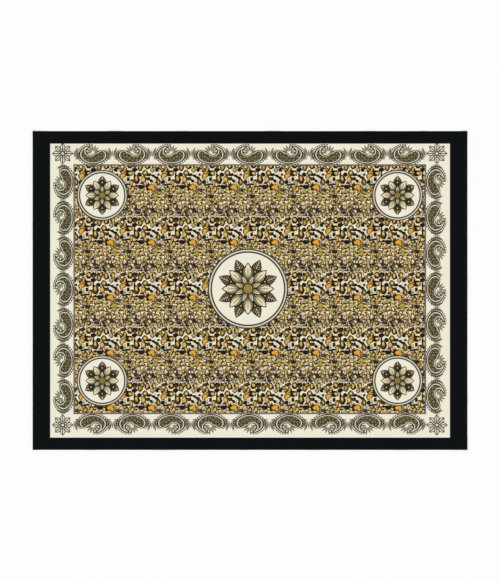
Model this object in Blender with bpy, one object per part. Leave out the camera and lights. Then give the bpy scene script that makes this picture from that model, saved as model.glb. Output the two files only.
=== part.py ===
"""Kanga wrap cloth, laid out flat with its printed side up.

The cloth is one woven cotton panel. Its two long edges are selvedges, left as woven. Its two
short edges are cut, turned under twice and stitched, which leaves a narrow flat hem below each
end of the panel. The panel lies on the surface between the hems and climbs over them at its
ends, and panel and hem share one round fold.

Metres, +Z up. The origin is on the surface below the middle of the cloth. +X runs along the
selvedges and +Y across the cloth, towards the top of the print.
"""

import math

import bmesh
import bpy

# Finished cloth.
LENGTH = 1.500  # along the selvedges, fold to fold
WIDTH = 1.100  # from selvedge to selvedge
WALL = 0.001  # cotton, with room for its thread and print

# Turned ends.
HEM_WIDTH = 0.010  # from the fold to the inner edge of the turning
HEM_WALL = 0.001  # the two turnings, pressed flat
SEAM_GAP = 0.0003  # between the panel and the hem below it
CLIMB = 0.012  # run over which the panel rises from the surface onto the hem

# Facets.
CLIMB_STEPS = 8
FOLD_STEPS = 6

# Worked out from the sizes above.
HEM_TOP = HEM_WALL + SEAM_GAP  # underside of the panel where it lies over a hem
FOLD_HEIGHT = HEM_TOP + WALL
FOLD_RADIUS = FOLD_HEIGHT / 2
CLIMB_END = HEM_WIDTH + SEAM_GAP  # distance from the fold at which the panel has risen

# Colour, roughness of each finish.
PRINTED_COTTON = ((0.30, 0.24, 0.14, 1.0), 0.85)
BLACK_COTTON = ((0.008, 0.010, 0.011, 1.0), 0.85)


def clear_scene():
    """Remove every object of the scene."""
    for item in list(bpy.data.objects):
        bpy.data.objects.remove(item, do_unlink=True)


def finish(name, colour_and_roughness):
    """Make one cloth finish."""
    colour, roughness = colour_and_roughness
    material = bpy.data.materials.new(name)
    material.diffuse_color = colour
    material.use_nodes = True
    shader = material.node_tree.nodes["Principled BSDF"]
    shader.inputs["Base Color"].default_value = colour
    shader.inputs["Roughness"].default_value = roughness
    shader.inputs["Metallic"].default_value = 0.0
    return material


def fold_inset(height):
    """Distance from the end of the cloth to its round fold, at a height above the surface."""
    rise = height - FOLD_RADIUS
    return FOLD_RADIUS - math.sqrt(max(FOLD_RADIUS**2 - rise**2, 0.0))


def fold_arc(low, high):
    """Points (inset, height) of the fold's outline between two heights, from low to high."""
    start = math.asin((low - FOLD_RADIUS) / FOLD_RADIUS)
    end = math.asin((high - FOLD_RADIUS) / FOLD_RADIUS)
    turns = [start + (end - start) * step / FOLD_STEPS for step in range(FOLD_STEPS + 1)]
    heights = [FOLD_RADIUS * (1 + math.sin(turn)) for turn in turns]
    return [(fold_inset(height), height) for height in heights]


def climb_line():
    """Points (inset, height) of the panel's underside, from over the hem down to the surface."""
    points = []
    for step in range(CLIMB_STEPS + 1):
        share = step / CLIMB_STEPS
        height = HEM_TOP * (1 + math.cos(math.pi * share)) / 2
        points.append((CLIMB_END + CLIMB * share, height))
    return points


def panel_outline():
    """Outline (x, z) of the panel, cut along its length, anticlockwise from its right fold."""
    underside = climb_line()
    top = [(inset, height + WALL) for inset, height in underside]
    right_end = underside[::-1] + fold_arc(HEM_TOP, FOLD_HEIGHT) + top
    right = [(LENGTH / 2 - inset, height) for inset, height in right_end]
    left = [(-x, z) for x, z in reversed(right)]
    return right + left


def hem_outline():
    """Outline (x, z) of the right hem, measured from the end of the cloth, anticlockwise."""
    fold = [(-inset, height) for inset, height in fold_arc(0.0, HEM_WALL)]
    return [(-HEM_WIDTH, 0.0)] + fold + [(-HEM_WIDTH, HEM_WALL)]


def woven_strip(name, outline, material):
    """Make a named piece whose outline in XZ runs from one selvedge to the other.

    The outline is laid at one selvedge and extruded to the other.
    """
    shape = bmesh.new()
    corners = [shape.verts.new((x, -WIDTH / 2, z)) for x, z in outline]
    first_face = shape.faces.new(corners)
    extruded = bmesh.ops.extrude_face_region(shape, geom=[first_face])["geom"]
    far_corners = [part for part in extruded if isinstance(part, bmesh.types.BMVert)]
    bmesh.ops.translate(shape, verts=far_corners, vec=(0.0, WIDTH, 0.0))
    bmesh.ops.recalc_face_normals(shape, faces=shape.faces[:])
    mesh = bpy.data.meshes.new(name)
    shape.to_mesh(mesh)
    shape.free()
    mesh.shade_smooth()
    mesh.set_sharp_from_angle(angle=math.radians(40))
    mesh.materials.append(material)
    piece = bpy.data.objects.new(name, mesh)
    bpy.context.collection.objects.link(piece)
    return piece


def build():
    """Build the panel and its two hems."""
    clear_scene()
    printed = finish("printed_cotton", PRINTED_COTTON)
    black = finish("black_cotton", BLACK_COTTON)
    woven_strip("panel", panel_outline(), printed)
    for name, x, turn in (("hem_right", LENGTH / 2, 0.0), ("hem_left", -LENGTH / 2, math.pi)):
        hem = woven_strip(name, hem_outline(), black)
        hem.location.x = x
        hem.rotation_euler.z = turn


build()
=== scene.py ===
"""Kanga wrap cloth, laid flat with its printed side up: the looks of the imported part.

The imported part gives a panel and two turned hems. Thin cotton takes their place here: one length
of cloth that lies on the surface in soft relief, with its two cut ends turned under twice and
stitched. The print is worked out in millimetres on the cloth, by shader maths, in zones: a black
edge, a cream band of curled motifs, a fine line, a ground of cat's spots, and five ringed
roundels that hold rosettes.
"""

from __future__ import annotations

import logging
import math
from collections.abc import Callable, Sequence
from dataclasses import dataclass
from enum import Enum

import bpy
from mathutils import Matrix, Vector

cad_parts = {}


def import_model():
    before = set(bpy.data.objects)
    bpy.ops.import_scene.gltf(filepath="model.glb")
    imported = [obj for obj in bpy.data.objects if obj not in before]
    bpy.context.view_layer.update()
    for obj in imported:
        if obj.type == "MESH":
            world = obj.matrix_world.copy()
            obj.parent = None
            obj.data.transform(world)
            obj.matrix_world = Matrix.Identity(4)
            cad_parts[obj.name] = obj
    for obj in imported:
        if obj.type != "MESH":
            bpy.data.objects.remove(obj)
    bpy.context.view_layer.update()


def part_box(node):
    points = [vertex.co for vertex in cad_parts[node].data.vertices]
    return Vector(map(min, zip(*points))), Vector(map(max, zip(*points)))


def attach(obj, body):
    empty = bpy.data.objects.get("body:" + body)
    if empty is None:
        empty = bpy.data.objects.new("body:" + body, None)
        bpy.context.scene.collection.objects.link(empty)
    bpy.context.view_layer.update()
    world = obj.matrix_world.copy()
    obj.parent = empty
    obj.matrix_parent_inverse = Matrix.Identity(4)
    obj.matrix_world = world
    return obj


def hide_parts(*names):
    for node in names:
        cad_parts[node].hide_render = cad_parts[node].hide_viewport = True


log = logging.getLogger("kanga")

BAKE_MAP = "OFBake"
REVERSE = "reverse"  # the attribute that is 1 on the back of the cloth and 0 on its face
TURN = 2 * math.pi
MM = 0.001
INK_BLEED = 1.0  # mm over which a printed edge fades
FAR_OUTSIDE = -99.0  # depth that no ink reaches, in mm


# ---- Shader maths ----


def _maths(operation: str, *last: float, swapped: bool = False) -> Callable[..., Signal]:
    """Make a method of Signal that adds a Math node.

    Args:
        operation: the node's operation.
        swapped: whether the signal comes after the other number.
        *last: numbers for the node's last inputs.

    Returns:
        The method.
    """

    def method(signal: Signal, *others: Number) -> Signal:
        """Add the node to the signal's shader."""
        values = (*others, signal) if swapped else (signal, *others, *last)
        return signal.shader.math(operation, *values)

    return method


class Signal:
    """A shader socket that takes part in Python expressions. Each operator adds a Math node.

    & gives the lower of two masks or distances, which keeps what both hold, and | the higher,
    which keeps what either holds. Comparisons give 1 or 0.
    """

    def __init__(self, shader: Graph, socket: bpy.types.NodeSocket) -> None:
        """Keep the socket and the shader that it belongs to."""
        self.shader, self.socket = shader, socket

    __add__ = __radd__ = _maths("ADD")
    __sub__ = _maths("SUBTRACT")
    __rsub__ = _maths("SUBTRACT", swapped=True)
    __mul__ = __rmul__ = _maths("MULTIPLY")
    __truediv__ = _maths("DIVIDE")
    __rtruediv__ = _maths("DIVIDE", swapped=True)
    __mod__ = _maths("FLOORED_MODULO")
    __rmod__ = _maths("FLOORED_MODULO", swapped=True)
    __pow__ = _maths("POWER")
    __rpow__ = _maths("POWER", swapped=True)
    __neg__ = _maths("MULTIPLY", -1.0)
    __abs__ = _maths("ABSOLUTE")
    __lt__ = _maths("LESS_THAN")
    __gt__ = _maths("GREATER_THAN")
    __and__ = __rand__ = _maths("MINIMUM")
    __or__ = __ror__ = _maths("MAXIMUM")
    sine = _maths("SINE")
    cosine = _maths("COSINE")
    floor = _maths("FLOOR")

    def share(self, start: float, length: float) -> Signal:
        """How far the signal has come from start over a length, from 0 to 1."""
        scale = 1.0 / length
        return self.shader.math("MULTIPLY_ADD", self, scale, -start * scale, clamp=True)

    def ink(self, bleed: float = INK_BLEED) -> Signal:
        """Mask of a shape, from the distance inside its outline, with an edge as wide as bleed."""
        return self.share(-bleed / 2, bleed)

    def beside(self, output: int | str) -> Signal:
        """Another output of the same node."""
        return Signal(self.shader, self.socket.node.outputs[output])


Number = Signal | float
Triple = tuple[float, float, float]
Pair = tuple[float, float]


class Dye(Enum):
    """The print's colours, as sRGB levels out of 255."""

    BLACK = (3, 7, 9)
    CREAM = (236, 232, 212)
    LINE_GREY = (112, 104, 91)
    SPOT_CREAM = (238, 230, 202)
    SPOT_BLACK = (31, 24, 10)
    SPOT_BROWN = (76, 52, 16)
    SPOT_TAN = (138, 100, 36)
    FINE_BROWN = (48, 33, 6)
    PLUM = (52, 38, 40)
    SHELL = (244, 226, 190)
    STONE = (178, 166, 124)
    ORANGE = (228, 164, 50)
    YELLOW = (232, 206, 94)
    OLD_GOLD = (206, 182, 104)
    GOLD = (220, 182, 88)
    OCHRE = (204, 170, 80)
    OLIVE = (180, 162, 74)
    TAN = (222, 180, 128)
    SAND = (226, 201, 148)
    MOLE = (78, 68, 62)
    INK = (40, 38, 33)
    RING_INK = (66, 62, 48)
    RING_PALE = (218, 213, 196)
    BAND_INK = (58, 50, 34)
    BAND_TINT = (134, 126, 86)
    BAND_PALE = (226, 220, 198)
    BAND_GREY = (124, 116, 94)

    @property
    def colour(self) -> tuple[float, float, float, float]:
        """The dye as Blender's linear colour, with alpha."""
        levels = [level / 255 for level in self.value]
        return (*[v / 12.92 if v <= 0.04045 else ((v + 0.055) / 1.055) ** 2.4 for v in levels], 1.0)


Paint = Signal | Dye


class Graph:
    """A tree of shader nodes, and the ways to add to it."""

    def __init__(self, tree: bpy.types.NodeTree) -> None:
        """Keep the tree."""
        self.tree = tree

    def node(self, kind: str, settings: dict, sockets: dict, output: int | str = 0) -> Signal:
        """Add a node.

        Args:
            kind: the node's type, without its ShaderNode prefix.
            settings: properties to set first. "stops" gives a ramp's steps as (place, dye) pairs.
            sockets: values or signals of the inputs, by index or name.
            output: the output wanted, by index or name.

        Returns:
            The signal of that output.
        """
        node = self.tree.nodes.new(f"ShaderNode{kind}")
        for setting, value in settings.items():
            if setting == "stops":
                self._set_stops(node.color_ramp, value)
            else:
                setattr(node, setting, value)
        for key, value in sockets.items():
            if isinstance(value, Signal):
                self.tree.links.new(value.socket, node.inputs[key])
            else:
                node.inputs[key].default_value = value.colour if isinstance(value, Dye) else value
        return Signal(self, node.outputs[output])

    @staticmethod
    def _set_stops(ramp: bpy.types.ColorRamp, stops: Sequence[tuple[float, Dye]]) -> None:
        """Give a ramp its steps.

        Args:
            ramp: the ramp, which starts with two stops.
            stops: at least two (place, dye) pairs, in order. Each dye reaches to the next.
        """
        ramp.interpolation = "CONSTANT"
        while len(ramp.elements) < len(stops):
            ramp.elements.new(1.0)
        for element, (place, dye) in zip(ramp.elements, stops):
            element.position, element.color = place, dye.colour

    def math(self, operation: str, *values: Number, clamp: bool = False) -> Signal:
        """Add a Math node, whose result may be kept between 0 and 1."""
        settings = {"operation": operation, "use_clamp": clamp}
        return self.node("Math", settings, dict(enumerate(values)))

    def vector(self, operation: str, *values: Signal | Triple) -> Signal:
        """Add a Vector Math node. Its result is a number for LENGTH, and else a vector."""
        output = "Value" if operation == "LENGTH" else "Vector"
        return self.node("VectorMath", {"operation": operation}, dict(enumerate(values)), output)

    def join(self, x: Number, y: Number, z: Number = 0.0) -> Signal:
        """Make a vector of three numbers."""
        return self.node("CombineXYZ", {}, {0: x, 1: y, 2: z})

    def split(self, vector: Signal, kind: str = "SeparateColor") -> tuple[Signal, Signal, Signal]:
        """Take a colour, or with SeparateXYZ a vector, apart into its three numbers."""
        first = self.node(kind, {}, {0: vector})
        return first, first.beside(1), first.beside(2)

    def pick(self, mask: Number, first: Signal | Triple, second: Signal | Triple) -> Signal:
        """Blend two vectors: the first where the mask is 0, and the second where it is 1."""
        return self.node("Mix", {"data_type": "VECTOR"}, {0: mask, 4: first, 5: second}, 1)

    def blend(self, mask: Number, first: Number, second: Number) -> Signal:
        """Blend two numbers: the first where the mask is 0, and the second where it is 1."""
        return self.node("Mix", {"data_type": "FLOAT"}, {0: mask, 2: first, 3: second}, 0)

    def over(self, under: Paint, paint: Paint, mask: Number) -> Signal:
        """Print one colour over another where the mask is 1."""
        return self.node("Mix", {"data_type": "RGBA"}, {0: mask, 6: under, 7: paint}, 2)


class Shader(Graph):
    """The node tree of one material, which has only its Principled shader at first."""

    def __init__(self, name: str) -> None:
        """Make the material.

        Args:
            name: name of the material.
        """
        self.material = bpy.data.materials.new(name)
        self.material.use_nodes = True
        super().__init__(self.material.node_tree)
        self.surface = self.tree.nodes["Principled BSDF"]


class Stamp(Graph):
    """A node group that is made once and printed many times."""

    def __init__(self, name: str, inputs: dict[str, str], outputs: dict[str, str]) -> None:
        """Make a group that has only its ends.

        Args:
            name: name of the group.
            inputs: the type of each input, by name.
            outputs: the type of each output, by name.
        """
        super().__init__(bpy.data.node_groups.new(name, "ShaderNodeTree"))
        for side, sockets in (("INPUT", inputs), ("OUTPUT", outputs)):
            for label, kind in sockets.items():
                socket_type = f"NodeSocket{kind}"
                self.tree.interface.new_socket(label, in_out=side, socket_type=socket_type)
        self.start = self.tree.nodes.new("NodeGroupInput")
        self.end = self.tree.nodes.new("NodeGroupOutput")

    def given(self, label: str) -> Signal:
        """The signal of one input."""
        return Signal(self, self.start.outputs[label])

    def give(self, label: str, result: Signal) -> None:
        """Send a result to one output."""
        self.tree.links.new(result.socket, self.end.inputs[label])

    @classmethod
    def zone(cls, name: str, under: Paint, spot: Spot, draw: Callable[[Cloth], None]) -> Signal:
        """Draw one zone of the print in a group of its own.

        Args:
            name: name of the group.
            under: the colour below.
            spot: the place on the print.
            draw: what draws the zone on the cloth.

        Returns:
            The colour that shows.
        """
        stamp = cls(name, {"Under": "Color", "X": "Float", "Y": "Float"}, {"Colour": "Color"})
        cloth = Cloth(Spot(stamp.given("X"), stamp.given("Y")), stamp.given("Under"))
        draw(cloth)
        stamp.give("Colour", cloth.paint)
        sockets = {"Under": under, "X": spot.x, "Y": spot.y}
        return spot.shader.node("Group", {"node_tree": stamp.tree}, sockets)


# ---- Drawing ----


@dataclass(frozen=True)
class Spot:
    """A place on the print, in millimetres from some centre."""

    x: Signal
    y: Signal

    @property
    def shader(self) -> Graph:
        """The shader that the place is worked out in."""
        return self.x.shader

    @property
    def radius(self) -> Signal:
        """Distance from the centre."""
        return self.shader.vector("LENGTH", self.shader.join(self.x, self.y))

    @property
    def polar(self) -> Polar:
        """The place by its distance and angle about the centre."""
        return Polar(self.radius, self.shader.math("ARCTAN2", self.y, self.x))

    def from_point(self, x: float, y: float) -> Spot:
        """The same place, measured from another point."""
        return Spot(self.x - x, self.y - y)


@dataclass(frozen=True)
class Polar:
    """A place by its distance and angle about a centre."""

    radius: Signal
    angle: Signal

    def sector(self, count: int, turn: float = 0.0) -> Spot:
        """Fold the plane into one of a number of equal sectors.

        Args:
            count: how many sectors go round.
            turn: turn of the first sector, as a share of one sector.

        Returns:
            The place in its sector: x along the sector's middle, y across it.
        """
        share = TURN / count
        within = (self.angle + share * (turn + 0.5)) % share - share / 2
        return Spot(self.radius * within.cosine(), self.radius * within.sine())


class Cloth:
    """A place on the cloth, and the inks printed there so far, one over another."""

    def __init__(self, spot: Spot, paint: Paint) -> None:
        """Keep the place and its first colour."""
        self.spot, self.paint = spot, paint

    def lay(self, ink: Paint, depth: Signal, bleed: float = INK_BLEED) -> None:
        """Print an ink over all that lies inside an outline."""
        self.paint = self.spot.shader.over(self.paint, ink, depth.ink(bleed))


@dataclass(frozen=True)
class Petal:
    """A leaf shape that is pointed at both ends, with its stem end at start."""

    start: float
    length: float
    half_width: float
    belly: float = 1.0  # under 1 puts the widest place nearer to the stem

    def share(self, place: Spot) -> Signal:
        """How far along the petal a place is, from 0 to 1."""
        return place.x.share(self.start, self.length)

    def depth(self, place: Spot) -> Signal:
        """Measure a place against the petal's outline.

        Args:
            place: the place, with x along the petal and y across it.

        Returns:
            The distance inside the outline, which is negative outside it.
        """
        ends = self.length / 2 - abs(place.x - (self.start + self.length / 2))
        side = ((self.share(place) ** self.belly) * math.pi).sine() * self.half_width
        return (side - abs(place.y)) & ends


@dataclass(frozen=True)
class Tile:
    """The ground's repeat: its size and the place of its upper left corner."""

    width: float
    height: float
    left: float
    top: float

    def wrapped(self, spot: Spot) -> tuple[Signal, Signal]:
        """Wrap the plane round a ring both ways, so that noise read there repeats with the tile.

        Args:
            spot: the place on the print.

        Returns:
            The place in four dimensions: a vector and a fourth number, in millimetres.
        """
        across = (spot.x - self.left) * (TURN / self.width)
        up = (spot.y - self.top) * (TURN / self.height)
        wide, high = self.width / TURN, self.height / TURN
        place = (across.cosine() * wide, across.sine() * wide, up.cosine() * high)
        return spot.shader.join(*place), up.sine() * high

    @staticmethod
    def noise(place: tuple[Signal, Signal], grain: float, output: str) -> Signal:
        """Smooth noise at a wrapped place: a number from "Fac", or three from "Color"."""
        sockets = {"Vector": place[0], "W": place[1], "Scale": 1.0 / grain, "Detail": 0.0}
        return place[0].shader.node("TexNoise", {"noise_dimensions": "4D"}, sockets, output)


@dataclass(frozen=True)
class Lattice:
    """Close-packed marks, one in each cell of a lattice that repeats with the tile."""

    columns: int
    rows: int
    jitter: float  # width of the scatter about the cell's middle, in cells
    stretch: float  # length of a mark over its width
    seed: float

    def nearest(self, tile: Tile, spot: Spot) -> tuple[Signal, Signal]:
        """Find the mark that a place is in.

        Args:
            tile: the repeat.
            spot: the place on the print.

        Returns:
            The distance inside the mark's outline, in cells, and the mark's random numbers.
        """
        shader = spot.shader
        across = (spot.x - tile.left) * (self.columns / tile.width)
        up = (spot.y - tile.top) * (self.rows / tile.height)
        place = shader.join(across, up)
        corner = shader.vector("FLOOR", shader.vector("SUBTRACT", place, (0.5, 0.5, 0.0)))
        centred = shader.vector("ADD", place, (self.jitter / 2, self.jitter / 2, 0.0))
        middle = shader.vector("ADD", corner, (0.5, 0.5, 0.5))
        first, chosen = self._mark(middle, centred)
        second: Number = -FAR_OUTSIDE
        for step in ((1.5, 0.5, 0.5), (0.5, 1.5, 0.5), (1.5, 1.5, 0.5)):
            distance, random = self._mark(shader.vector("ADD", corner, step), centred)
            chosen = shader.pick(distance < first, chosen, random)
            second = (first | distance) & second
            first = first & distance
        return (second - first) * 0.5, chosen

    def _mark(self, middle: Signal, place: Signal) -> tuple[Signal, Signal]:
        """Measure the mark of one cell.

        Args:
            middle: middle of the cell, in cells.
            place: the place measured, in cells.

        Returns:
            The distance from the mark's middle, in cells, and its two random numbers.
        """
        shader = place.shader
        size = (float(self.columns), float(self.rows), 1.0)
        cell = shader.vector("FLOOR", shader.vector("WRAP", middle, size, (0.0, 0.0, 0.0)))
        key = shader.vector("ADD", cell, (0.0, 0.0, self.seed))
        colour = shader.node("TexWhiteNoise", {}, {"Vector": key}, "Color")
        random = shader.join(*shader.split(colour)[:2])
        away = shader.vector("SUBTRACT", place, middle)
        away = shader.vector("MULTIPLY_ADD", random, (-self.jitter, -self.jitter, 0.0), away)
        sockets = {"Vector": away, "Angle": colour.beside("Value") * TURN}
        away = shader.node("VectorRotate", {"rotation_type": "Z_AXIS"}, sockets)
        ratio = math.sqrt(self.stretch)
        away = shader.vector("MULTIPLY", away, (1 / ratio, ratio, 0.0))
        return shader.vector("LENGTH", away), random


MARK_RESULTS = {"Depth": "Float", "Heart": "Float", "Dye": "Color"}
MARK_INPUTS = {
    **dict.fromkeys(("X", "Left", "Right", "Y", "Bottom", "Top", "Along X", "Along Y"), "Float"),
    **dict.fromkeys(("Along", "Across X", "Across Y", "Across"), "Float"),
    **dict.fromkeys(("Width", "Heart size", "Shift"), "Float"),
    "Mark dye": "Color",
    **MARK_RESULTS,
}


@dataclass(frozen=True)
class Mark:
    """One bold mark of the repeat: a dark oval, with a lighter heart or none."""

    x: float  # from the repeat's upper left corner, in millimetres
    y: float
    length: float  # half of the whole
    width: float  # half of the whole
    turn: float = 0.0  # degrees, anticlockwise from along the cloth
    heart: float = -1.0  # size of the heart as a share of the mark's, and negative for none
    dye: Dye = Dye.GOLD
    shift: float = 0.0  # how far the heart lies towards the mark's end, in half lengths

    def print_on(self, stamp: Stamp, tile: Tile, place: Spot, marks: Marks) -> Marks:
        """Add the mark to those printed before it.

        Args:
            stamp: the stamp of such marks.
            tile: the repeat.
            place: the place, from the repeat's upper left corner.
            marks: the marks printed before.

        Returns:
            All of them.
        """
        turn = math.radians(self.turn)
        along = math.cos(turn) / self.length, math.sin(turn) / self.length
        across = -math.sin(turn) / self.width, math.cos(turn) / self.width
        values = (
            *(place.x, self.x - tile.width / 2, self.x + tile.width / 2),
            *(place.y, self.y - tile.height / 2, self.y + tile.height / 2),
            *(*along, -(self.x * along[0] + self.y * along[1])),
            *(*across, -(self.x * across[0] + self.y * across[1])),
            *(self.width, self.heart, self.shift, self.dye, marks.depth, marks.heart, marks.dye),
        )
        sockets = dict(zip(MARK_INPUTS, values))
        depth = place.shader.node("Group", {"node_tree": stamp.tree}, sockets, "Depth")
        return Marks(depth, depth.beside("Heart"), depth.beside("Dye"))


@dataclass(frozen=True)
class Marks:
    """What the marks printed so far come to at a place."""

    depth: Number = FAR_OUTSIDE  # distance inside the mark there, or outside the nearest
    heart: Number = FAR_OUTSIDE  # distance inside that mark's heart
    dye: Paint = Dye.GOLD  # colour of that heart

    @staticmethod
    def stamp() -> Stamp:
        """Make the group of nodes that adds one mark.

        Returns:
            The stamp.
        """
        stamp = Stamp("mark", MARK_INPUTS, MARK_RESULTS)
        given = stamp.given
        x = stamp.math("WRAP", given("X"), given("Right"), given("Left"))
        y = stamp.math("WRAP", given("Y"), given("Top"), given("Bottom"))
        along = x * given("Along X") + y * given("Along Y") + given("Along")
        across = x * given("Across X") + y * given("Across Y") + given("Across")
        depth = (1.0 - (along**2.0 + across**2.0) ** 0.5) * given("Width")
        moved = along - given("Shift")
        heart = (given("Heart size") - (moved**2.0 + across**2.0) ** 0.5) * given("Width")
        inside = depth > given("Depth")
        stamp.give("Depth", depth | given("Depth"))
        stamp.give("Heart", stamp.blend(inside, given("Heart"), heart))
        stamp.give("Dye", stamp.over(given("Dye"), given("Mark dye"), inside))
        return stamp


@dataclass(frozen=True)
class SpotGround:
    """The ground of cat's spots: bands of bold ringed spots between bands of fine marks."""

    tile: Tile = Tile(width=142.0, height=190.3, left=-10.8, top=50.8)
    fine: Lattice = Lattice(10, 14, jitter=0.5, stretch=2.0, seed=11.0)
    lump: float = 7.0  # size of the noise that bends outlines, and thins and breaks rims
    bend: float = 8.0  # how far the whole range of that noise would push an outline
    cloud: float = 24.0  # size of the patches of duller fine marks and browner bold ones
    sharp: float = 8.0  # how suddenly such a patch begins
    dull: float = 0.58  # level of the noise where fine marks turn dull
    brown: float = 0.56  # level where bold ones turn brown
    dusk: float = 0.06  # how much duller the lower half of a band of fine marks is
    bold_middle: float = -25.0  # of the band of bold marks, from the repeat's top
    bold_more: float = 0.3  # how much wider it is than the band of fine ones
    gap: float = -0.4  # half width of the cream line between fine marks, negative for none
    clear: float = 1.7  # how much wider that is among the bold marks
    breach: float = 0.56  # level of the noise where it opens up
    breach_width: float = 12.0  # how much that would add over the noise's whole range
    rim: float = 2.75  # width of a fine mark's dark rim
    rim_swing: float = 5.0  # how much the noise adds to it, over its whole range
    solid: float = 0.07  # share of fine marks that are dark all over
    solid_rim: float = 6.0  # what that adds to the rim
    fine_bleed: Pair = (1.2, 0.8)  # of a fine mark's rim and its heart
    halo: float = 2.4  # width of the bare cream round a bold mark
    least_halo: float = 0.4  # that width in the bands of fine marks
    swell: float = 1.4  # how much a bold mark reaches beyond its oval
    ring_level: float = 0.52  # level of the noise that leaves its ring as charted
    ring_swing: float = 10.0  # how much the noise thins the ring, over its whole range
    tan: float = 1.4  # width of the tan round its heart
    bold_bleed: Triple = (1.5, 1.6, 2.6)  # of its halo, the tan and the heart
    hearts: tuple[tuple[float, Dye], ...] = (
        *((0.0, Dye.OLIVE), (0.10, Dye.YELLOW), (0.32, Dye.OCHRE), (0.44, Dye.GOLD)),
        *((0.62, Dye.SAND), (0.82, Dye.SHELL)),
    )
    dull_hearts: tuple[tuple[float, Dye], ...] = (
        *((0.0, Dye.MOLE), (0.10, Dye.OLIVE), (0.34, Dye.SAND), (0.76, Dye.SHELL)),
    )
    bold: tuple[Mark, ...] = (
        Mark(22.5, 2, 10.5, 9.5, 90, 0.66, Dye.GOLD, 0.05),
        Mark(40, 3, 9, 8.5, -90, 0.40, Dye.MOLE, 0.50),
        Mark(55, 5, 5, 4, 90),
        Mark(66, 5, 7, 5, 90, 0.80, Dye.OLIVE),
        Mark(82, -1, 11, 8.5, 105, 0.66, Dye.GOLD, 0.15),
        Mark(106, 1.5, 10.5, 7.8, -80, 0.74, Dye.GOLD, 0.10),
        Mark(141, 5, 10, 6, 20),
        Mark(123, 19, 9.5, 6.2, 90, 0.74, Dye.OCHRE),
        Mark(5, -13, 9.5, 7.5, 80, 0.72, Dye.OCHRE, 0.15),
        Mark(39, -15, 9, 6.5, 10),
        Mark(58, -8, 10, 8, 90, 0.62, Dye.OCHRE),
        Mark(126, -7, 8, 6, 0, 0.70, Dye.OCHRE, 0.1),
        Mark(100, -15, 8.5, 6.5, 90, 0.86, Dye.STONE),
        Mark(115, -15, 6, 4.5, 90),
        Mark(20, -27, 11, 10, 0, 0.62, Dye.GOLD, 0.35),
        Mark(75, -26, 9.5, 9, 90, 0.68, Dye.GOLD),
        Mark(56, -31, 7, 5.8),
        Mark(89, -32, 7, 5, -4),
        Mark(102, -35, 4.8, 4.2, -30),
        Mark(112, -41, 7, 4, -20),
        Mark(121, -31, 4.5, 4),
        Mark(134, -16, 8, 4.5, 100, 0.80, Dye.OCHRE),
        Mark(140, -35, 11, 7.5, 20, 0.84, Dye.ORANGE, 0.12),
        Mark(136, -42, 6, 5, 80, 0.86, Dye.GOLD),
        Mark(37.5, -32, 6.5, 2.4, 86),
        Mark(44.5, -49.5, 14, 9.6, 90, 0.60, Dye.GOLD, 0.26),
        Mark(69, -47, 11, 7.8, 90, 0.80, Dye.GOLD, -0.06),
        Mark(74, -64, 9, 5.5, 95, 0.85, Dye.SAND),
        Mark(85, -46, 6.5, 4.4, -6),
        Mark(97, -53, 6, 5, -50),
        Mark(119, -57, 11.5, 7.6, 98, 0.72, Dye.GOLD, 0.04),
        Mark(16, -48, 6.5, 5, 90),
        Mark(136, -57, 6, 5),
        Mark(8, -66, 11, 3.5),
        Mark(28, -60, 12, 5.5, 85, 0.84, Dye.OCHRE),
        Mark(31, -81, 11, 7, 75, 0.82, Dye.GOLD),
        Mark(84, -73, 11, 5, 82),
        Mark(96, -75, 13.5, 9, 32, 0.82, Dye.ORANGE, 0.14),
        Mark(104, -81, 8.5, 5.5, 60, 0.86, Dye.ORANGE),
        Mark(60, -73, 10, 5.5, -5),
        Mark(44, -76, 9, 7, 20, 0.66, Dye.TAN, 0.25),
        Mark(11, -81, 9, 8.5, 90, 0.62, Dye.OCHRE),
        Mark(121, -85, 7, 5, 0, 0.4, Dye.MOLE),
        Mark(66, -60, 5, 3.5),
        Mark(22, 28, 8, 7, 90, 0.66, Dye.OLIVE),
        Mark(4, 23, 8, 6, 90, 0.76, Dye.OCHRE),
        Mark(50, 28, 7.5, 4.5),
        Mark(75, 31, 7, 6, 90, 0.64, Dye.OCHRE),
        Mark(78, 18, 7, 5, 0, 0.4, Dye.MOLE),
        Mark(23, -93, 8, 4.5, 20, 0.8, Dye.OCHRE),
        Mark(58, -92, 9, 4.5, 5, 0.8, Dye.OLIVE),
        Mark(105, -93, 6, 4, 0, 0.85, Dye.OLIVE),
        Mark(97, -99, 5, 4, 0, 0.9, Dye.SPOT_CREAM),
        Mark(126, -105, 8, 5.5, 15, 0.95, Dye.YELLOW),
        Mark(112, -114, 5, 7, 0, 0.9, Dye.OLIVE),
        Mark(86, -111, 5, 6, 0, 0.9, Dye.SAND),
        Mark(36, -107, 6, 3.5, 0, 0.95, Dye.SPOT_CREAM),
        Mark(3, -123, 4, 7, 0, 0.9, Dye.YELLOW),
        Mark(47, -121, 5, 4.5, 0, 0.9, Dye.OLIVE),
        Mark(35, -131, 5, 2.5),
        Mark(87, -133, 5, 4.5),
        Mark(70, -134, 6, 3, 0, 0.95, Dye.YELLOW),
        Mark(71, -148, 12, 5, 85, 0.84, Dye.OCHRE),
        Mark(26, -142, 5.5, 5, 0, 0.9, Dye.OLIVE),
        Mark(56, -142, 5, 5, 0, 0.95, Dye.SAND),
    )

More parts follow.
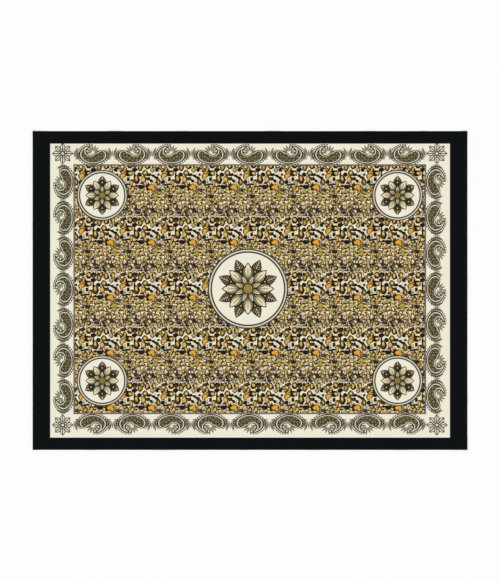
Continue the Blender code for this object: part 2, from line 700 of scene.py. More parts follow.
    def print_on(self, cloth: Cloth) -> None:
        """Print the ground.

        Args:
            cloth: the cloth, by its place from the middle.
        """
        spot, shader = cloth.spot, cloth.spot.shader
        wrapped = self.tile.wrapped(spot)
        x, y, _ = shader.split(self.tile.noise(wrapped, self.lump, "Color"))
        spot = Spot(spot.x + (x - 0.5) * self.bend, spot.y + (y - 0.5) * self.bend)
        rims = self.tile.noise(wrapped, self.lump, "Fac")
        clouds = self.tile.noise(wrapped, self.cloud, "Fac")
        rows = (spot.y - self.tile.top - self.bold_middle) * (TURN / self.tile.height)
        bold = (rows.cosine() + self.bold_more) | 0.0
        self._lay_fine_marks(cloth, spot, rims, clouds + rows.sine() * self.dusk, bold)
        self._lay_bold_marks(cloth, spot, rims, clouds, bold)

    def _lay_fine_marks(
        self, cloth: Cloth, spot: Spot, rims: Signal, clouds: Signal, bold: Signal
    ) -> None:
        """Print the fine marks: close-packed, dark-rimmed, with bright or dull hearts.

        Args:
            cloth: the cloth.
            spot: the place on it, pushed about so that no row or outline is straight.
            rims: noise that thins and breaks the rims.
            clouds: noise that varies the colours.
            bold: over 0 in the bands of bold marks.
        """
        shader = spot.shader
        depth, random = self.fine.nearest(self.tile, spot)
        depth = depth * (self.tile.width / self.fine.columns)
        kind, hue, _ = shader.split(random, "SeparateXYZ")
        dull = ((clouds - self.dull) * self.sharp).ink()
        hearts = shader.over(
            shader.node("ValToRGB", {"stops": self.hearts}, {0: hue}),
            shader.node("ValToRGB", {"stops": self.dull_hearts}, {0: hue}),
            dull,
        )
        gap = ((rims - self.breach) * self.breach_width | 0.0) + bold * self.clear + self.gap
        rim = (rims - 0.5) * self.rim_swing + (kind < self.solid) * self.solid_rim
        dark, heart = self.fine_bleed
        cloth.lay(shader.over(Dye.FINE_BROWN, Dye.PLUM, dull), depth - gap, dark)
        cloth.lay(hearts, depth - (rim + (gap + self.rim)), heart)

    def _lay_bold_marks(
        self, cloth: Cloth, spot: Spot, rims: Signal, clouds: Signal, bold: Signal
    ) -> None:
        """Print the bold marks of the chart.

        Args:
            cloth: the cloth.
            spot: the place on it, pushed about so that no outline is true.
            rims: noise that thins and breaks the rings.
            clouds: noise that turns some rings brown.
            bold: over 0 in the bands of bold marks.
        """
        place = spot.from_point(self.tile.left, self.tile.top)
        stamp, marks = Marks.stamp(), Marks()
        for mark in self.bold:
            marks = mark.print_on(stamp, self.tile, place, marks)
        depth = marks.depth + self.swell
        halo = (depth + self.least_halo) + bold * (self.halo - self.least_halo)
        brown = ((clouds - self.brown) * self.sharp).ink()
        heart = marks.heart + (rims - self.ring_level) * self.ring_swing
        bleeds = self.bold_bleed
        cloth.lay(Dye.SPOT_CREAM, halo, bleeds[0])
        cloth.lay(spot.shader.over(Dye.SPOT_BLACK, Dye.SPOT_BROWN, brown), depth)
        cloth.lay(Dye.SPOT_TAN, heart, bleeds[1])
        cloth.lay(marks.dye, heart - self.tan, bleeds[2])


@dataclass(frozen=True)
class Rosette:
    """An inked flower head seen from above: a seed disc, two rings of petals and dark leaves."""

    count: int
    core: float  # radius of the seed disc
    inner: Petal
    outer: Petal
    leaf: Petal
    shade: float  # radius of the dark ground behind the petals
    outline: float = 3.4  # width of a petal's ink edge
    lobe: float = 3.0  # how far the dark ground reaches out and in by turns
    speck: float = 2.6  # radius of the gold specks on it
    speck_inset: float = 6.5  # their distance from its edge
    seeds: tuple[tuple[float, int, float], ...] = ((0.72, 2, 0.13), (0.36, 1, 0.12))
    middle_seed: float = 0.14  # these, like the sizes in seeds, are shares of the core
    veins: float = 2.0  # veins over half a leaf's width
    vein_slant: float = 0.9
    vein: Pair = (0.9, 0.6)  # half widths of a leaf's rib and its veins
    strokes: float = 3.2  # fine strokes over half a petal's width
    stroke_slant: float = 0.7
    stroke: float = 0.34  # half width of a stroke, as a share of the way to the next
    stroke_reach: Pair = (0.8, 1.2)  # how far in they start, and how much farther at the stem
    rib: float = 1.0  # half width of a petal's rib
    rib_end: float = 0.72  # where it ends, as a share of the petal

    def print_on(self, cloth: Cloth, polar: Polar) -> None:
        """Print the rosette.

        Args:
            cloth: the cloth.
            polar: the place about the rosette's centre.
        """
        between = polar.sector(self.count, turn=0.5)
        on_petal = polar.sector(self.count)
        self._lay_leaves(cloth, between)
        lobes = (polar.angle * float(2 * self.count)).cosine() * self.lobe
        cloth.lay(Dye.INK, lobes + self.shade - polar.radius)
        specks = polar.sector(3 * self.count, turn=0.5)
        specks = specks.from_point(self.shade - self.speck_inset, 0.0)
        cloth.lay(Dye.OCHRE, self.speck - specks.radius)
        self._lay_petals(cloth, on_petal, self.outer, Dye.OLD_GOLD)
        self._lay_petals(cloth, between, self.inner, Dye.OLIVE)
        cloth.lay(Dye.INK, self.core - polar.radius)
        for reach, times, size in self.seeds:
            seed = polar.sector(times * self.count).from_point(self.core * reach, 0.0)
            cloth.lay(Dye.OCHRE, self.core * size - seed.radius)
        cloth.lay(Dye.OCHRE, self.core * self.middle_seed - polar.radius)

    def _lay_leaves(self, cloth: Cloth, place: Spot) -> None:
        """Print dark leaves with pale veins.

        Args:
            cloth: the cloth.
            place: the place in its sector.
        """
        depth = self.leaf.depth(place)
        cloth.lay(Dye.INK, depth)
        pitch = self.leaf.half_width / self.veins
        slant = (place.x - abs(place.y) * self.vein_slant) % pitch
        rib, veins = self.vein[0] - abs(place.y), self.vein[1] - abs(slant - pitch / 2)
        cloth.lay(Dye.SAND, (rib | veins) & (depth - self.outline))

    def _lay_petals(self, cloth: Cloth, place: Spot, petal: Petal, dye: Dye) -> None:
        """Print a ring of petals, each outlined, ribbed and shaded with fine strokes.

        Args:
            cloth: the cloth.
            place: the place in its sector.
            petal: the petal's shape.
            dye: colour at the petal's stem.
        """
        depth, share = petal.depth(place), petal.share(place)
        cloth.lay(Dye.INK, depth)
        cloth.lay(place.shader.over(dye, Dye.SPOT_CREAM, share), depth - self.outline)
        pitch = petal.half_width / self.strokes
        strokes = abs((place.x + abs(place.y) * self.stroke_slant) % pitch - pitch / 2)
        reach = petal.half_width * self.stroke_reach[0] * (self.stroke_reach[1] - share)
        shade = (pitch * self.stroke - strokes) & (reach - depth)
        rib = (self.rib - abs(place.y)) & ((self.rib_end - share) * petal.length)
        cloth.lay(Dye.INK, (shade | rib) & depth)


@dataclass(frozen=True)
class Roundel:
    """A cream disc in two rings, with a rosette in it."""

    disc: float
    ring: float  # outer radius of the inner, dark ring
    gap: float  # outer radius of the cream ring
    rim: float  # outer radius of the thin dark rim
    rosette: Rosette

    def print_on(self, cloth: Cloth) -> None:
        """Print the roundel.

        Args:
            cloth: the cloth, by its place from the roundel's centre.
        """
        polar = cloth.spot.polar
        cloth.lay(Dye.RING_INK, self.rim - polar.radius)
        cloth.lay(Dye.RING_PALE, self.gap - polar.radius)
        cloth.lay(Dye.RING_INK, self.ring - polar.radius)
        cloth.lay(Dye.CREAM, self.disc - polar.radius)
        self.rosette.print_on(cloth, polar)


@dataclass(frozen=True)
class CurledMotif:
    """A curled teardrop: a fat head below, and a tail that winds round and over it."""

    height: float = 37.0  # of the curl's middle above the band's inner edge
    squeeze: float = 0.68  # the curl is drawn round, then drawn out along the band by this
    reach: float = 15.0  # distance of the head's middle line from the curl's middle
    spread: float = 12.0  # how much farther out the tail's end lies
    start: float = math.radians(24)  # where the head starts, anticlockwise from the gap
    sweep: float = math.radians(318)
    gap: float = math.radians(118)  # direction of the gap between head and tail
    half_width: float = 16.0
    blunt: float = 0.5  # how suddenly it widens from the head's end, and less is more so
    taper: float = 1.5
    tail: float = 3.0  # half width of the tail, up to its very tip
    tips: Pair = (30.0, 9.0)  # how suddenly that width starts at the head and ends at the tip
    outside: float = 2.0  # how far outside the outline all is beyond the ends
    contour: float = 3.8  # width of the dark edge
    line: float = 2.2  # width of the pale line inside it
    body: float = 4.0  # how far inside the dark edge the body starts
    beads: float = 31.0
    bead: float = 1.9  # radius of a bead
    bead_pitch: float = 2.4  # way from bead to bead, in radii
    bead_gap: float = 1.6  # between the outline and the beads
    beaded: Pair = (0.04, 0.97)  # the stretch with beads, as shares of the way
    bead_end: float = 60.0  # how suddenly it ends
    mottle: float = 11.0  # size of the body's mottles
    seam: float = 1.9  # half width of the dark line between mottles
    fleck: float = 4.2  # the same, up to the dark fleck in a mottle
    fleck_inset: float = 6.5  # how far inside the dark edge the flecks start

    def depth(self, polar: Polar) -> tuple[Signal, Signal]:
        """Measure a place against the motif's outline.

        Args:
            polar: the place about the curl's middle.

        Returns:
            The distance inside the outline, and the share of the way from head to tail.
        """
        share = ((polar.angle - self.gap) % TURN).share(self.start, self.sweep)
        widest = self.blunt / (self.blunt + self.taper)
        peak = widest**self.blunt * (1 - widest) ** self.taper
        width = share**self.blunt * (1.0 - share) ** self.taper * (self.half_width / peak)
        ends = (share * self.tips[0]) & ((1.0 - share) * self.tips[1]) & 1.0
        width = width + (ends * (self.tail + self.outside) - self.outside)
        flank = polar.radius * share * self.sweep
        return (width - abs(polar.radius - self._line(share))) & flank, share

    def _line(self, share: Signal) -> Signal:
        """Distance of the motif's middle line from the curl's middle."""
        return share * self.spread + self.reach

    def print_on(self, cloth: Cloth, spot: Spot) -> None:
        """Print the motif.

        Args:
            cloth: the cloth.
            spot: the place from the middle of the cell, at the band's inner edge.
        """
        place = spot.from_point(0.0, self.height)
        polar = Spot(place.x * self.squeeze, place.y).polar
        depth, share = self.depth(polar)
        inner = depth - self.contour
        cloth.lay(Dye.BAND_INK, self._beads(polar, depth, share))
        cloth.lay(Dye.BAND_INK, depth)
        cloth.lay(Dye.BAND_PALE, inner)
        cloth.lay(Dye.BAND_INK, inner - self.line)
        shader = spot.shader
        where = {"Vector": shader.join(spot.x, spot.y), "Scale": 1 / self.mottle, "Randomness": 0.9}
        settings = {"voronoi_dimensions": "2D", "feature": "DISTANCE_TO_EDGE"}
        scale = shader.node("TexVoronoi", settings, where, "Distance") * self.mottle
        cloth.lay(Dye.BAND_TINT, (scale - self.seam) & (inner - self.body))
        cloth.lay(Dye.BAND_INK, (scale - self.fleck) & (inner - self.fleck_inset))

    def _beads(self, polar: Polar, depth: Signal, share: Signal) -> Signal:
        """Measure a place against the row of beads that runs round the motif.

        Args:
            polar: the place about the curl's middle.
            depth: the distance inside the motif's outline.
            share: the share of the way from head to tail.

        Returns:
            The distance inside a bead's outline.
        """
        along = ((share * self.beads) % 1.0 - 0.5) * (self.bead * self.bead_pitch)
        bead = self.bead - Spot(along, depth + self.bead + self.bead_gap).radius
        outside, (start, stop) = polar.radius - self._line(share), self.beaded
        return bead & outside & ((stop - share) * self.bead_end) & ((share - start) * self.bead_end)


@dataclass(frozen=True)
class Band:
    """The cream band of motifs between the fine line and the black edge."""

    half_length: float
    half_height: float
    along: int = 9  # motifs along a long side
    up: int = 7  # motifs along a short side
    middle: float = 37.0  # distance of the band's middle from its inner edge
    motif: CurledMotif = CurledMotif()
    sprig: Petal = Petal(start=5.0, length=36.0, half_width=4.4)
    spray: Petal = Petal(start=4.0, length=24.0, half_width=3.2)
    sprig_foot: float = 0.55  # height of its foot, as a share of the middle's
    spray_foot: float = 3.0  # height of its foot over the middle of the curl
    leaves: int = 13  # in the full circle of a sprig or spray
    foot: float = 4.0  # how far a sprig or spray reaches below its foot
    corner: Petal = Petal(start=8.0, length=29.0, half_width=9.5)
    corner_petals: int = 8
    corner_outline: float = 3.0  # width of a corner petal's ink edge
    corner_rib: float = 1.6  # half width of its rib
    corner_core: Pair = (9.0, 4.5)  # radii of the corner flower's middle, and of the pale in it

    def print_on(self, cloth: Cloth) -> None:
        """Print the band.

        Args:
            cloth: the cloth, by its place from the middle of the band's frame.
        """
        spot, shader = cloth.spot, cloth.spot.shader
        beyond_x = abs(spot.x) - self.half_length
        beyond_y = abs(spot.y) - self.half_height
        upright = beyond_x > 0.0
        side_x = (spot.x > 0.0) * 2.0 - 1.0
        side_y = (spot.y > 0.0) * 2.0 - 1.0
        along = shader.blend(upright, spot.x * side_y, -spot.y * side_x)
        across = shader.blend(upright, beyond_y, beyond_x)
        half = shader.blend(upright, self.half_length, self.half_height)
        pitch = half * 2.0 / shader.blend(upright, float(self.along), float(self.up))
        steps = (along + half) / pitch
        cell = steps.floor()
        flip = (cell % 2.0) * 2.0 - 1.0
        local = Spot((steps - cell - 0.5) * pitch * flip, across)
        between = Spot(abs(local.x) - pitch / 2.0, across - self.middle * self.sprig_foot)
        self._lay_fan(cloth, between, self.sprig)
        over = local.from_point(0.0, self.motif.height + self.spray_foot)
        self._lay_fan(cloth, over, self.spray)
        self.motif.print_on(cloth, local)
        flower = self._corner_flower(Spot(beyond_x - self.middle, beyond_y - self.middle))
        cloth.paint = shader.over(cloth.paint, flower, upright * (beyond_y > 0.0))

    def _lay_fan(self, cloth: Cloth, place: Spot, petal: Petal) -> None:
        """Print a pale fan of leaves, whose foot is at the place's centre."""
        leaf = place.polar.sector(self.leaves)
        cloth.lay(Dye.BAND_GREY, petal.depth(leaf) & (place.y + self.foot))

    def _corner_flower(self, place: Spot) -> Paint:
        """Print the flower at a corner of the band.

        Args:
            place: the place from the flower's middle.

        Returns:
            The colour of the corner.
        """
        corner, polar = Cloth(place, Dye.CREAM), place.polar
        leaf = polar.sector(self.corner_petals)
        depth = self.corner.depth(leaf)
        corner.lay(Dye.BAND_INK, depth)
        corner.lay(Dye.BAND_PALE, depth - self.corner_outline)
        corner.lay(Dye.BAND_INK, (self.corner_rib - abs(leaf.y)) & depth)
        for dye, core in zip((Dye.BAND_INK, Dye.BAND_PALE), self.corner_core):
            corner.lay(dye, core - polar.radius)
        return corner.paint


@dataclass(frozen=True)
class Oblong:
    """An upright rectangle on the print."""

    left: float
    right: float
    bottom: float
    top: float

    @property
    def middle(self) -> Pair:
        """Its middle."""
        return (self.left + self.right) / 2, (self.bottom + self.top) / 2

    @property
    def half(self) -> Pair:
        """Half its length and half its height."""
        return (self.right - self.left) / 2, (self.top - self.bottom) / 2

    def depth(self, spot: Spot) -> Signal:
        """Distance inside its outline, and negative outside it."""
        place = spot.from_point(*self.middle)
        return (self.half[0] - abs(place.x)) & (self.half[1] - abs(place.y))


GREAT_ROSETTE = Rosette(
    count=8,
    core=17.0,
    inner=Petal(10.5, 40.0, 11.0, 0.8),
    outer=Petal(17.0, 74.0, 19.0, 1.1),
    leaf=Petal(44.5, 65.0, 18.0, 0.9),
    shade=70.0,
)
SMALL_ROSETTE = Rosette(
    count=6,
    core=11.0,
    inner=Petal(6.5, 27.5, 9.3, 0.8),
    outer=Petal(10.0, 48.0, 14.3, 1.1),
    leaf=Petal(28.5, 40.0, 14.3, 0.9),
    shade=51.0,
)


@dataclass(frozen=True)
class KangaPrint:
    """The whole print, zone by zone, in millimetres from the middle of the cloth."""

    cream: Oblong = Oblong(-689.1, 689.6, -507.4, 506.6)
    line: Oblong = Oblong(-609.4, 607.8, -426.9, 435.8)
    line_width: float = 5.0
    ground: SpotGround = SpotGround()
    middle: Pair = (-7.0, 6.0)
    corner_middle: Pair = (-0.5, 8.5)
    corner_reach: Pair = (509.5, 320.0)
    great: Roundel = Roundel(123.8, 129.4, 133.8, 138.6, GREAT_ROSETTE)
    small: Roundel = Roundel(75.6, 80.4, 84.0, 88.0, SMALL_ROSETTE)

    def colour(self, spot: Spot) -> Signal:
        """Colour of the print.

        Args:
            spot: the place from the middle of the cloth.

        Returns:
            The colour.
        """
        band = Band(*self.line.half).print_on
        band = Stamp.zone("band", Dye.CREAM, spot.from_point(*self.line.middle), band)
        paint = Stamp.zone("ground", Dye.SPOT_CREAM, spot, self.ground.print_on)
        place = spot.from_point(*self.middle)
        paint = Stamp.zone("great_roundel", paint, place, self.great.print_on)
        corner = spot.from_point(*self.corner_middle)
        corner = Spot(abs(corner.x), abs(corner.y)).from_point(*self.corner_reach)
        paint = Stamp.zone("small_roundel", paint, corner, self.small.print_on)
        inside = self.line.depth(spot)
        cloth = Cloth(spot, Dye.LINE_GREY)
        cloth.lay(paint, inside - self.line_width)
        framed = Cloth(spot, band)
        framed.lay(cloth.paint, inside)
        edged = Cloth(spot, Dye.BLACK)
        edged.lay(framed.paint, self.cream.depth(spot))
        return edged.paint


# ---- Finishes ----


@dataclass(frozen=True)
class Weave:
    """Plain-woven cotton: fine crossing threads, and uneven ones among them."""

    thread: float = 0.9  # width of a pair of threads, in millimetres
    thread_share: float = 0.12  # how much the even threads count beside the uneven ones
    slub_length: float = 70.0
    slub_width: float = 1.1
    depth: float = 0.0003  # height of the bump, in metres

    def height(self, spot: Spot) -> Signal:
        """Height of the cloth's surface.

        Args:
            spot: the place on the cloth.

        Returns:
            A number about a half, higher on thick threads.
        """
        turns = TURN / self.thread
        weave = (spot.x * turns).sine() * (spot.y * turns).sine()
        long, wide = 1 / self.slub_length, 1 / self.slub_width
        warp = self._noise(Spot(spot.x * long, spot.y * wide))
        weft = self._noise(Spot(spot.x * wide, spot.y * long))
        return weave * self.thread_share + (warp + weft) * 0.5

    @staticmethod
    def _noise(spot: Spot) -> Signal:
        """Smooth noise with lumps of one unit."""
        sockets = {"Vector": spot.shader.join(spot.x, spot.y), "Scale": 1.0, "Detail": 1.0}
        return spot.shader.node("TexNoise", {"noise_dimensions": "2D"}, sockets, "Fac")


@dataclass(frozen=True)
class Cotton:
    """The finish of thin cotton, dyed black."""

    name: str
    roughness: float = 0.86
    unevenness: float = 0.1  # how much rougher the thickest threads are
    specular: float = 0.10
    sheen: float = 0.03
    sheen_roughness: float = 0.5
    mottle: float = 0.10  # how much darker the thickest threads are
    bump: float = 0.4
    weave: Weave = Weave()

    def build(self) -> bpy.types.Material:
        """Make the material.

        Returns:
            The material.
        """
        shader = Shader(self.name)
        x, y, _ = shader.split(shader.node("TexCoord", {}, {}, "Object"), "SeparateXYZ")
        spot = Spot(x * (1 / MM), y * (1 / MM))
        height = self.weave.height(spot)
        inputs = shader.surface.inputs
        inputs["Specular IOR Level"].default_value = self.specular
        inputs["Sheen Weight"].default_value = self.sheen
        inputs["Sheen Roughness"].default_value = self.sheen_roughness
        bump = {"Strength": self.bump, "Distance": self.weave.depth, "Height": height}
        results = {
            "Base Color": shader.over(self.dyed(spot), Dye.BLACK, (height - 0.5) * self.mottle),
            "Roughness": height * self.unevenness + (self.roughness - self.unevenness / 2),
            "Normal": shader.node("Bump", {}, bump, "Normal"),
        }
        for label, result in results.items():
            shader.tree.links.new(result.socket, inputs[label])
        log.info("%s: %d nodes", self.name, len(shader.tree.nodes))
        return shader.material

    def dyed(self, spot: Spot) -> Paint:
        """Colour of the cloth at a place."""
        return Dye.BLACK


@dataclass(frozen=True)
class PrintedCotton(Cotton):
    """Cotton with the print on its face. The reverse shows it paler."""

    artwork: KangaPrint = KangaPrint()
    fading: float = 0.10  # how much paler the reverse is

    def dyed(self, spot: Spot) -> Paint:
        """Colour of the print at a place, on either side.

        Args:
            spot: the place on the cloth.

        Returns:
            The colour.
        """
        settings = {"attribute_type": "GEOMETRY", "attribute_name": REVERSE}
        reverse = spot.shader.node("Attribute", settings, {}, "Fac")
        return spot.shader.over(self.artwork.colour(spot), Dye.CREAM, reverse * self.fading)


# ---- Cloth shapes, in metres ----


@dataclass(frozen=True)
class Ridge:
    """A long, very soft rise in the cloth."""

    x: float
    y: float
    turn: float  # degrees, anticlockwise from along the cloth
    length: float  # half of the whole
    width: float  # half of the whole
    height: float

    def lift(self, x: float, y: float) -> float:
        """Measure the rise at a place.

        Args:
            x: the place along the cloth.
            y: the place across it.

        Returns:
            Height of the rise over the place.
        """
        turn = math.radians(self.turn)
        away_x, away_y = x - self.x, y - self.y
        along = (away_x * math.cos(turn) + away_y * math.sin(turn)) / self.length
        across = (away_y * math.cos(turn) - away_x * math.sin(turn)) / self.width
        reach = along * along + across * across
        return self.height * (1 - reach) ** 2 if reach < 1 else 0.0


@dataclass(frozen=True)
class Relief:
    """How the cloth lies: nearly flat, with faint ridges and slightly waved edges."""

    ridges: tuple[Ridge, ...] = (
        Ridge(-0.36, 0.14, 24, 0.30, 0.055, 0.0013),
        Ridge(0.30, -0.20, 18, 0.34, 0.060, 0.0014),
        Ridge(0.12, 0.30, -32, 0.22, 0.045, 0.0010),
        Ridge(-0.20, -0.33, -14, 0.26, 0.050, 0.0011),
        Ridge(0.55, 0.20, 62, 0.20, 0.045, 0.0010),
        Ridge(-0.58, -0.12, 74, 0.24, 0.050, 0.0012),
        Ridge(-0.47, 0.55, 84, 0.13, 0.040, 0.0016),
        Ridge(-0.23, 0.55, 97, 0.09, 0.032, 0.0011),
        Ridge(0.08, 0.55, 88, 0.15, 0.046, 0.0018),
        Ridge(0.41, 0.55, 94, 0.10, 0.036, 0.0013),
        Ridge(0.60, 0.55, 82, 0.08, 0.028, 0.0010),
        Ridge(-0.55, -0.55, 95, 0.10, 0.034, 0.0011),
        Ridge(-0.30, -0.55, 86, 0.14, 0.044, 0.0016),
        Ridge(-0.02, -0.55, 92, 0.08, 0.030, 0.0010),
        Ridge(0.22, -0.55, 85, 0.12, 0.040, 0.0014),
        Ridge(0.52, -0.55, 96, 0.13, 0.042, 0.0017),
        Ridge(-0.75, 0.21, 4, 0.10, 0.050, 0.0013),
        Ridge(-0.75, -0.30, -5, 0.08, 0.042, 0.0011),
        Ridge(0.75, 0.03, 3, 0.12, 0.055, 0.0014),
        Ridge(0.75, -0.38, -4, 0.08, 0.040, 0.0010),
        Ridge(-0.75, 0.55, -36, 0.09, 0.060, 0.0013),
        Ridge(0.75, -0.55, -34, 0.11, 0.065, 0.0016),
        Ridge(0.75, 0.55, 38, 0.07, 0.050, 0.0010),
    )

    def lift(self, x: float, y: float) -> float:
        """Height of the cloth's underside over the surface that it lies on."""
        return sum(ridge.lift(x, y) for ridge in self.ridges)


@dataclass(frozen=True)
class Layers:
    """Heights of the cloth's layers over the surface, at the middle of each."""

    wall: float = 0.0005
    clear: float = 0.00005  # air between layers, and under the middle of the panel
    stand: float = 0.00018  # height of the hem over the surface, on its stitches

    @property
    def panel(self) -> float:
        """The panel between the hems."""
        return self.clear + self.wall / 2

    @property
    def turned(self) -> float:
        """The lowest layer of a hem."""
        return self.stand + self.wall / 2

    @property
    def tucked(self) -> float:
        """The raw end that is tucked into a hem."""
        return self.turned + self.wall + self.clear

    @property
    def over(self) -> float:
        """The panel over a hem."""
        return self.tucked + self.wall + self.clear


@dataclass(frozen=True)
class HemFold:
    """The cloth's profile at one end, as points of inset and height, from the fold inwards."""

    layers: Layers
    depth: float  # width of the hem
    tuck: float = 0.0078  # width of the raw end inside the hem
    bend: float = 0.004  # inset of the point past the fold
    tuck_point: float = 0.005  # inset of the point along the raw end
    stitch: float = 0.0082  # distance of the stitch line from the fold
    draw: float = 0.001  # half width of the dip along the stitch line
    dip: float = 0.00008  # how deep the stitches draw the panel down
    shelf: float = 0.0003  # how far the panel stays up beyond the hem
    climb: float = 0.012  # distance over which it comes down
    steps: int = 6

    def _arc(self, centre: Pair, radius: float, start: float, stop: float) -> list[Pair]:
        """Points of an arc, from start to stop in degrees from straight inwards."""
        turns = [math.radians(start + (stop - start) * n / self.steps) for n in range(self.steps + 1)]
        return [(centre[0] + radius * math.cos(t), centre[1] + radius * math.sin(t)) for t in turns]

    def _fold(self, stop: float) -> list[Pair]:
        """Lay out the outer fold, from its outermost line.

        Args:
            stop: where it stops, in degrees from straight inwards.

        Returns:
            The points.
        """
        radius = (self.layers.over - self.layers.turned) / 2
        centre = radius + self.layers.wall / 2, (self.layers.over + self.layers.turned) / 2
        return self._arc(centre, radius, 180, stop)

    def panel_end(self) -> list[Pair]:
        """The panel's stretch from the fold's outermost line to where it lies flat.

        Returns:
            The points.
        """
        over, flat = self.layers.over, self.layers.panel
        points = self._fold(90)
        near, far = self.stitch - self.draw, self.stitch + self.draw
        points += [(self.bend, over), (near, over), (self.stitch, over - self.dip), (far, over)]
        for share in (step / self.steps for step in range(self.steps + 1)):
            drop = (over - flat) * (1 - math.cos(math.pi * share)) / 2
            points.append((self.depth + self.shelf + self.climb * share, over - drop))
        return points

    def hem(self) -> list[Pair]:
        """The hem's stretch from the fold's outermost line to the raw end.

        Returns:
            The points.
        """
        turned, tucked = self.layers.turned, self.layers.tucked
        inner = (tucked - turned) / 2
        centre = self.depth - inner - self.layers.wall / 2, turned + inner
        points = self._fold(270) + [(self.bend, turned), (self.stitch, turned)]
        points += self._arc(centre, inner, -90, 90)
        return points + [(self.tuck_point, tucked), (self.depth - self.tuck, tucked)]


Face = tuple[tuple[int, ...], str]  # a face's corners, and the name of its part of the map


@dataclass(frozen=True)
class Wall:
    """A thin wall swept across the cloth: a profile along the cloth, repeated in rows."""

    name: str
    profile: list[Pair]  # x and z of the wall's middle
    rows: list[float]  # y of each row
    thickness: float
    relief: Relief
    profile_is_u: bool  # whether the map runs along the profile, or along the rows
    split: float = 0.255  # height in the map of the line between the two sides
    strip: float = 0.003  # height in the map of each of the four rims
    strip_gap: float = 0.001
    edge: float = 0.005  # bare edge of the map

    def build(self) -> bpy.types.Object:
        """Make the wall.

        Returns:
            The piece.
        """
        mesh = bpy.data.meshes.new(self.name)
        faces = self._faces()
        mesh.from_pydata(self._places(), [], [corners for corners, _ in faces])
        mesh.shade_smooth()
        self._mark_reverse(mesh)
        self._map(mesh, faces)
        piece = bpy.data.objects.new(self.name, mesh)
        bpy.context.scene.collection.objects.link(piece)
        log.info("%s: %d faces", self.name, len(mesh.polygons))
        return piece

    def _normals(self) -> list[Pair]:
        """Directions across the wall at each point of the profile.

        Returns:
            Their x and z.
        """
        normals = []
        for index in range(len(self.profile)):
            before, *_, after = self.profile[max(index - 1, 0) : index + 2]
            along_x, along_z = after[0] - before[0], after[1] - before[1]
            length = math.hypot(along_x, along_z)
            normals.append((-along_z / length, along_x / length))
        return normals

    def _places(self) -> list[Triple]:
        """Points of the left side of the profile's wall, row by row, and then of its right.

        Returns:
            The points.
        """
        places = []
        stations = list(zip(self.profile, self._normals()))
        for reach in (self.thickness / 2, -self.thickness / 2):
            for y in self.rows:
                for (x, z), (across_x, across_z) in stations:
                    height = z + self.relief.lift(x, y)
                    places.append((x + across_x * reach, y, height + across_z * reach))
        return places

    def _faces(self) -> list[Face]:
        """Faces of both sides, and then of the four rims between them.

        Returns:
            The faces.
        """
        columns, under = len(self.profile), len(self.profile) * len(self.rows)
        faces, rims = [], []
        for row in range(0, under - columns, columns):
            for a in range(row, row + columns - 1):
                b, c, d = a + 1, a + columns + 1, a + columns
                faces.append(((a, b, c, d), "left"))
                faces.append(((d + under, c + under, b + under, a + under), "right"))
            end = row + columns - 1
            rims += [(row, row + columns, "start"), (end + columns, end, "end")]
        last = under - columns
        for column in range(columns - 1):
            rims += [(column + 1, column, "first"), (last + column, last + column + 1, "last")]
        return faces + [((a, b, b + under, a + under), part) for a, b, part in rims]

    def _mark_reverse(self, mesh: bpy.types.Mesh) -> None:
        """Mark the points on the profile's right as the reverse of the cloth."""
        marks, count = mesh.attributes.new(REVERSE, "FLOAT", "POINT"), len(mesh.vertices) // 2
        marks.data.foreach_set("value", [0.0] * count + [1.0] * count)

    def _map(self, mesh: bpy.types.Mesh, faces: list[Face]) -> None:
        """Lay both sides and the four rims out flat in the unit square, none on another.

        Args:
            mesh: the wall's mesh.
            faces: its faces.
        """
        columns, count = len(self.profile), len(self.profile) * len(self.rows)
        along = [0.0]
        for before, after in zip(self.profile, self.profile[1:]):
            along.append(along[-1] + math.dist(before, after))
        margin = 3 * self.strip
        sides = {
            "left": (self.split + margin, 1 - self.edge),
            "right": (self.edge, self.split - margin),
        }
        strips = {"start": -2, "end": -1, "first": 0, "last": 1}
        places = []
        for corners, part in faces:
            for index in corners:
                row, column = divmod(index % count, columns)
                across = (self.rows[row] - self.rows[0]) / (self.rows[-1] - self.rows[0])
                shares = along[column] / along[-1], across
                if part in sides:
                    u, v = shares if self.profile_is_u else shares[::-1]
                    low, high = sides[part]
                    height = low + v * (high - low)
                else:
                    u = across if part in ("start", "end") else shares[0]
                    low = self.split + strips[part] * (self.strip + self.strip_gap)
                    height = low + (self.strip if index >= count else 0.0)
                places += [self.edge + u * (1 - 2 * self.edge), height]
        mesh.uv_layers.new(name=BAKE_MAP).data.foreach_set("uv", places)


